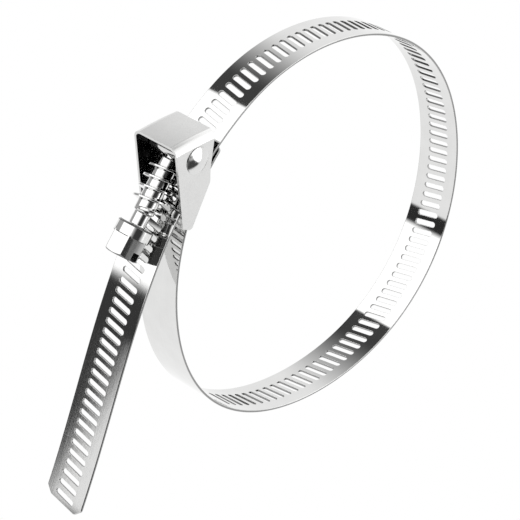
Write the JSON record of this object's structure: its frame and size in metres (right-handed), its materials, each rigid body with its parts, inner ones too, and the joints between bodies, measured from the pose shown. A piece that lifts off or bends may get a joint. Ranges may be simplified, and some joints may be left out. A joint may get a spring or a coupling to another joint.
{
  "type": "quick-release hose clamp",
  "caption": "Steel strip looped round a hose space, its slotted tail passing through a folded bridge under a swivelling worm screw with a slotted hexagon head.",
  "frame": {"origin": "middle of the bounding box's underside, the clamp lying on its side", "axes": "+Z along the hose's centre line, +X along the free tail, -Y out of the loop through the clamp's head"},
  "size_m": [0.1314, 0.1158, 0.0165],
  "materials": {
    "band_steel": "bright rolled stainless strip, faint rolling lines",
    "bridge_steel": "pressed stainless sheet, softly polished",
    "trunnion_steel": "turned stainless bar",
    "screw_steel": "turned and rolled stainless steel, polished",
    "washer_steel": "stamped stainless steel"
  },
  "bodies": {
    "clamp": {"band": "band_steel", "bridge": "bridge_steel"},
    "swivel": {"trunnion": "trunnion_steel"},
    "screw": {"screw": "screw_steel", "tip_washer": "washer_steel"}
  },
  "joints": [
    {"name": "screw_swivel", "type": "hinge", "parent": "clamp", "child": "swivel", "pos_m": [-0.02563, -0.04888, 0.00823], "axis": [0, 0, -1], "range_deg": [0, 45]},
    {"name": "screw_turn", "type": "hinge", "parent": "swivel", "child": "screw", "pos_m": [-0.02563, -0.04888, 0.00823], "axis": [0.9848, -0.1736, 0], "continuous": true}
  ]
}
